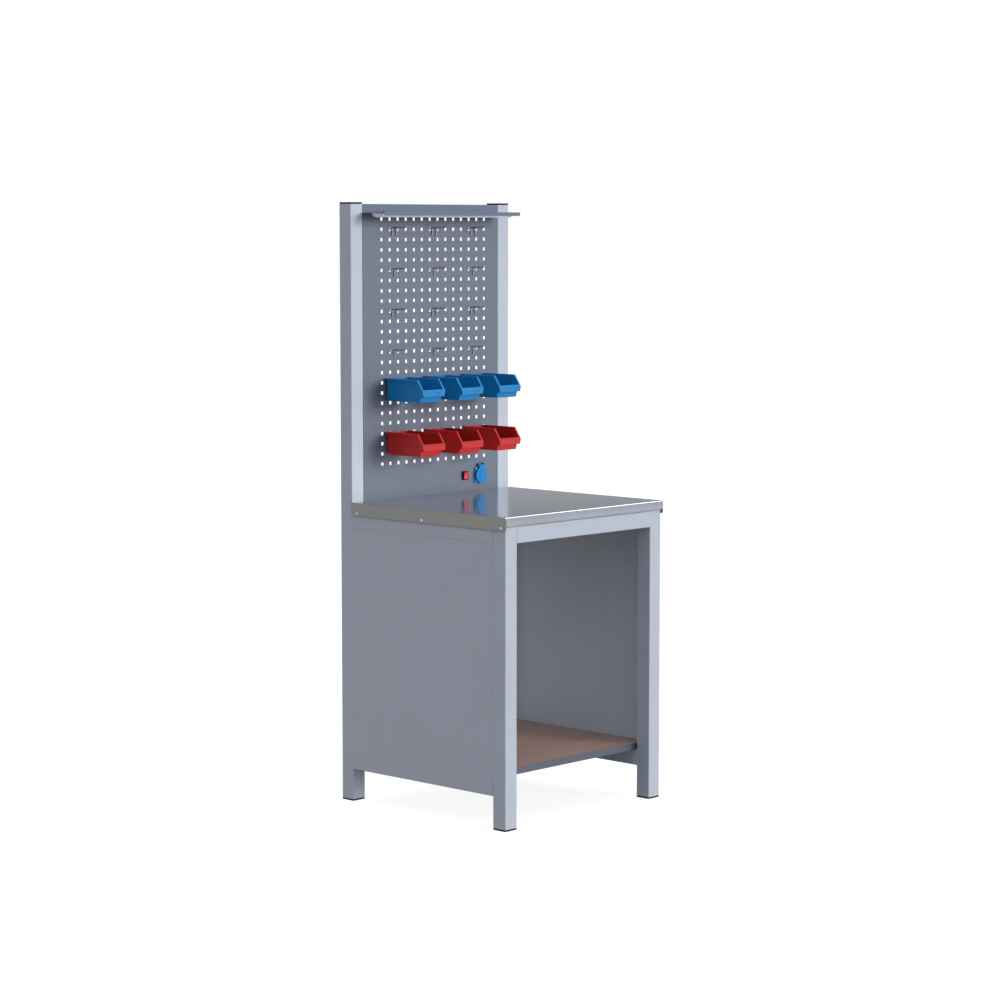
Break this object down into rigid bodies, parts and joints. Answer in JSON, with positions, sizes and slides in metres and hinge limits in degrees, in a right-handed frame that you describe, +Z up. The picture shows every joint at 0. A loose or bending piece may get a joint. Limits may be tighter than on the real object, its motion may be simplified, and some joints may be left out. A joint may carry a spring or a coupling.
{
  "type": "workbench",
  "caption": "Narrow workshop bench with a steel-covered worktop, open lower bay and shelf, and a perforated back panel with lamp, hooks, storage bins and a power socket.",
  "frame": {"origin": "on the floor, under the middle of the bench's box", "axes": "+X along the front edge to the right, +Y from the front to the back panel, +Z up"},
  "size_m": [0.71, 0.7034, 1.8458],
  "materials": {
    "frame_paint": "light blue-grey powder coat with a fine orange-peel texture",
    "panel_paint": "mid blue-grey powder coat, fine texture",
    "steel_sheet": "cold-rolled zinc-coated steel sheet, satin with blurred reflections",
    "dark_steel": "dark blackened steel wire, half gloss",
    "zinc_plate": "bright zinc-plated sheet",
    "brass": "bare contact brass",
    "black_plastic": "black moulded plastic, matt grain",
    "blue_plastic": "blue moulded polypropylene, half gloss",
    "red_plastic": "red moulded polypropylene, half gloss",
    "rocker_red": "bright red moulded plastic, gloss",
    "opal_lens": "opal plastic, faintly translucent",
    "white_parts": "white coated aluminium",
    "shelf_wood": "brown film-faced board",
    "board_core": "raw pressed board"
  },
  "bodies": {
    "bench": {"front_leg_left": "frame_paint", "front_leg_right": "frame_paint", "rear_upright_left": "frame_paint", "rear_upright_right": "frame_paint", "side_rail_top_left": "frame_paint", "side_rail_top_right": "frame_paint", "side_rail_bottom_left": "frame_paint", "side_rail_bottom_right": "frame_paint", "front_rail": "frame_paint", "rear_rail": "frame_paint", "side_panel_left": "frame_paint", "side_panel_right": "frame_paint", "perforated_panel": "panel_paint", "canopy": "panel_paint", "shelf_tray": "panel_paint", "foot_front_left": "black_plastic", "foot_front_right": "black_plastic", "foot_rear_left": "black_plastic", "foot_rear_right": "black_plastic", "upright_cap_left": "black_plastic", "upright_cap_right": "black_plastic", "switch_body": "black_plastic", "shelf_board": "shelf_wood", "worktop_board": "board_core", "worktop_cover": "steel_sheet", "socket_hinge_pin": "steel_sheet", "lamp_housing": "white_parts", "lamp_led_strip": "white_parts", "lamp_lens": "opal_lens", "hook_1_left": "dark_steel", "hook_1_middle": "dark_steel", "hook_1_right": "dark_steel", "hook_2_left": "dark_steel", "hook_2_middle": "dark_steel", "hook_2_right": "dark_steel", "hook_3_left": "dark_steel", "hook_3_middle": "dark_steel", "hook_3_right": "dark_steel", "hook_4_left": "dark_steel", "hook_4_middle": "dark_steel", "hook_4_right": "dark_steel", "bin_hanger_upper_left": "zinc_plate", "bin_hanger_upper_middle": "zinc_plate", "bin_hanger_upper_right": "zinc_plate", "bin_hanger_lower_left": "zinc_plate", "bin_hanger_lower_middle": "zinc_plate", "bin_hanger_lower_right": "zinc_plate", "socket_base": "blue_plastic", "socket_contact_left": "brass", "socket_contact_right": "brass", "socket_earth_clip": "brass"},
    "bin_upper_left": {"bin_upper_left": "blue_plastic"},
    "bin_upper_middle": {"bin_upper_middle": "blue_plastic"},
    "bin_upper_right": {"bin_upper_right": "blue_plastic"},
    "bin_lower_left": {"bin_lower_left": "red_plastic"},
    "bin_lower_middle": {"bin_lower_middle": "red_plastic"},
    "bin_lower_right": {"bin_lower_right": "red_plastic"},
    "socket_lid": {"socket_lid": "blue_plastic"},
    "rocker": {"switch_rocker": "rocker_red"}
  },
  "joints": [
    {"name": "bin_upper_left_lift", "type": "slide", "parent": "bench", "child": "bin_upper_left", "axis": [0, -0.866, 0.5], "range_m": [0, 0.2]},
    {"name": "bin_upper_middle_lift", "type": "slide", "parent": "bench", "child": "bin_upper_middle", "axis": [0, -0.866, 0.5], "range_m": [0, 0.2]},
    {"name": "bin_upper_right_lift", "type": "slide", "parent": "bench", "child": "bin_upper_right", "axis": [0, -0.866, 0.5], "range_m": [0, 0.2]},
    {"name": "bin_lower_left_lift", "type": "slide", "parent": "bench", "child": "bin_lower_left", "axis": [0, -0.866, 0.5], "range_m": [0, 0.2]},
    {"name": "bin_lower_middle_lift", "type": "slide", "parent": "bench", "child": "bin_lower_middle", "axis": [0, -0.866, 0.5], "range_m": [0, 0.2]},
    {"name": "bin_lower_right_lift", "type": "slide", "parent": "bench", "child": "bin_lower_right", "axis": [0, -0.866, 0.5], "range_m": [0, 0.2]},
    {"name": "socket_lid_hinge", "type": "hinge", "parent": "bench", "child": "socket_lid", "pos_m": [0.215, 0.29375, 1.0089], "axis": [-1, 0, 0], "range_deg": [0, 110], "stiffness_Nm_per_rad": 0.006, "springref_deg": -34.38},
    {"name": "switch_rocker_tilt", "type": "hinge", "parent": "bench", "child": "rocker", "pos_m": [0.145, 0.29775, 0.9805], "axis": [-1, 0, 0], "range_deg": [0, 14]}
  ]
}
